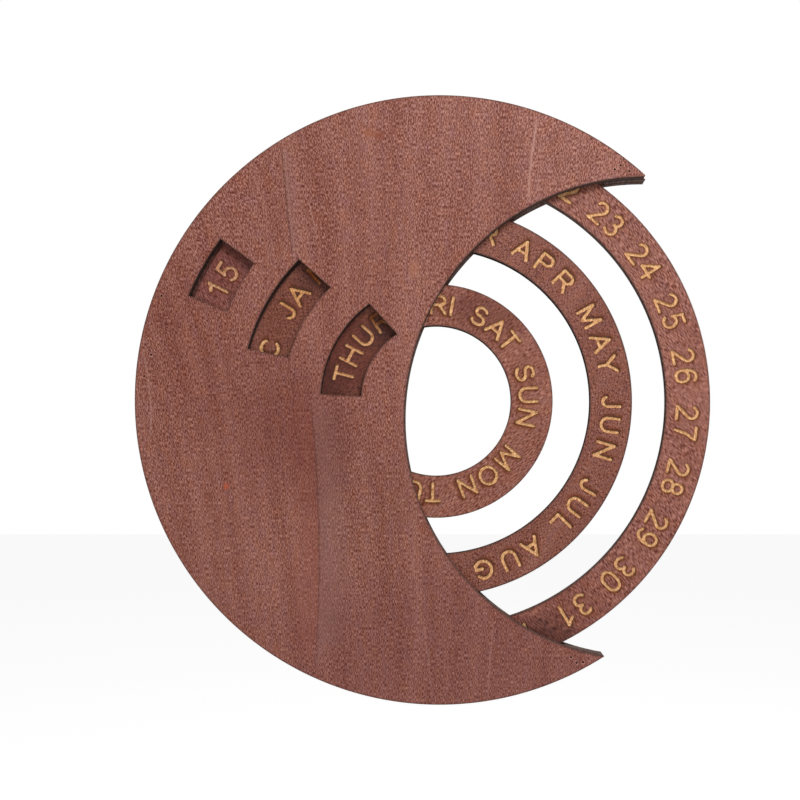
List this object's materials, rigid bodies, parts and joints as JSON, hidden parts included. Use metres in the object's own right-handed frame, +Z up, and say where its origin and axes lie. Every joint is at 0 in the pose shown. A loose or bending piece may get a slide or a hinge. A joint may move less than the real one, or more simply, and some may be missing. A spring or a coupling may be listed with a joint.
{
  "type": "wooden disc calendar",
  "caption": "Crescent case of thin plywood with three flat lettered rings turning inside it, read through windows as weekday, month and date.",
  "frame": {"origin": "middle of the hanging hole's mouth, on the back face", "axes": "+Z up as the calendar hangs, -Y out of the front with the windows, +X to the right seen from the front"},
  "size_m": [0.2322, 0.0094, 0.245],
  "materials": {
    "panel_wood": "reddish-brown stained plywood with fine upright grain, laser-cut edges scorched dark",
    "spacer_wood": "stained plywood seen only at its scorched, laser-cut edges",
    "ring_wood": "stained plywood with laser-engraved lettering in golden tan",
    "brad_steel": "thin headless wire brads, dark, sunk below the face"
  },
  "bodies": {
    "case": {"front_panel": "panel_wood", "back_panel": "panel_wood", "rim_spacer": "spacer_wood", "outer_guide": "spacer_wood", "inner_guide": "spacer_wood", "hub_spacer": "spacer_wood", "brad_upper_tip_1": "brad_steel", "brad_upper_tip_2": "brad_steel", "brad_upper_tip_3": "brad_steel", "brad_lower_tip_1": "brad_steel", "brad_lower_tip_2": "brad_steel", "brad_lower_tip_3": "brad_steel", "brad_left_rim_1": "brad_steel", "brad_left_rim_2": "brad_steel", "brad_left_rim_3": "brad_steel"},
    "date_dial": {"date_ring": "ring_wood"},
    "month_dial": {"month_ring": "ring_wood"},
    "weekday_dial": {"weekday_ring": "ring_wood"}
  },
  "joints": [
    {"name": "date_turn", "type": "hinge", "parent": "case", "child": "date_dial", "pos_m": [0.03044, -0.0047, -0.11353], "axis": [0, -1, 0], "continuous": true},
    {"name": "month_turn", "type": "hinge", "parent": "case", "child": "month_dial", "pos_m": [0.02874, -0.0047, -0.11323], "axis": [0, -1, 0], "continuous": true},
    {"name": "weekday_turn", "type": "hinge", "parent": "case", "child": "weekday_dial", "pos_m": [0.02824, -0.0047, -0.11309], "axis": [0, -1, 0], "continuous": true}
  ]
}
